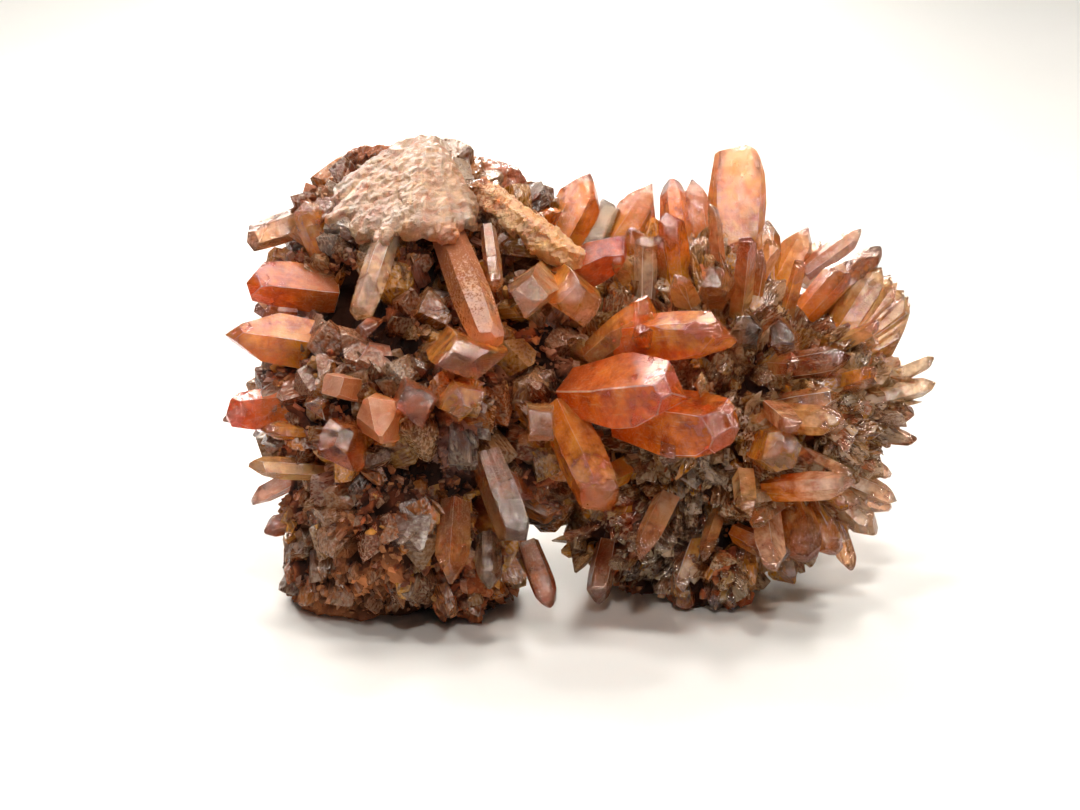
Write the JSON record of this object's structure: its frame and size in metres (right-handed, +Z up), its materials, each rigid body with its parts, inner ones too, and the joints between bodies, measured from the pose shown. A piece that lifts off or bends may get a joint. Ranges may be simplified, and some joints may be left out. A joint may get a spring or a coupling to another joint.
{
  "type": "creedite cluster",
  "caption": "Two-lobed natural cluster of radiating translucent orange to brown crystals on a clay-crusted rock base, resting on a small flat spot.",
  "frame": {"origin": "centre of the bounding box, on the plane that the cluster rests on", "axes": "+Z up, +X along the cluster's length towards the glassy lobe, -Y towards the show side"},
  "size_m": [0.0892, 0.0562, 0.0553],
  "materials": {
    "clay_crust": "rough",
    "orange_crystal": "glossy",
    "amber_crystal": "glossy",
    "honey_crystal": "glossy",
    "cream_crystal": "frosted",
    "brown_crystal": "satin",
    "mauve_crystal": "glossy",
    "olive_crystal": "glossy"
  },
  "bodies": {
    "root": {"matrix": "clay_crust", "left_tongue": "amber_crystal", "top_slab": "brown_crystal", "dome_slab": "brown_crystal", "crown_sheaf": "cream_crystal", "long_ridge": "cream_crystal", "netted_blade": "mauve_crystal", "centre_blade": "brown_crystal", "pale_blocks": "honey_crystal", "left_block": "orange_crystal", "left_point": "orange_crystal", "orange_lozenge": "orange_crystal", "low_pale_blade": "honey_crystal", "smoky_block": "olive_crystal", "rhomb_block": "cream_crystal", "cream_block": "cream_crystal", "brown_block": "brown_crystal", "upper_front_block": "amber_crystal", "lower_front_block": "orange_crystal", "cube_block": "honey_crystal", "olive_prism": "amber_crystal", "brown_point": "brown_crystal", "smoky_prism": "olive_crystal", "hanging_amber": "amber_crystal", "amber_left_prism": "amber_crystal", "dark_olive_prism": "olive_crystal", "pink_top_prism": "amber_crystal", "twin_pillar": "brown_crystal", "front_pillar": "amber_crystal", "slanted_block": "orange_crystal", "tall_prism": "amber_crystal", "top_pair": "amber_crystal", "upper_right_tip": "brown_crystal", "twin_right_tips": "brown_crystal", "yellow_fan": "honey_crystal", "pointed_pair": "honey_crystal", "upper_orange_blade": "orange_crystal", "front_blades": "orange_crystal", "pale_yellow_blade": "honey_crystal", "tabular_blade": "honey_crystal", "eye_crystal": "mauve_crystal", "rimmed_blade": "mauve_crystal", "brown_right_blades": "brown_crystal", "tan_blades": "honey_crystal", "low_orange_block": "orange_crystal", "pointed_orange": "orange_crystal", "low_fingers": "mauve_crystal", "striated_spray": "amber_crystal", "low_right_tips": "mauve_crystal", "back_left_blade": "brown_crystal", "back_left_point": "amber_crystal", "back_low_point": "brown_crystal", "back_top_prism": "cream_crystal", "back_waist_blade": "amber_crystal", "back_right_blades": "honey_crystal", "back_right_point": "orange_crystal", "back_far_blade": "amber_crystal", "back_low_blades": "mauve_crystal"}
  },
  "joints": []
}
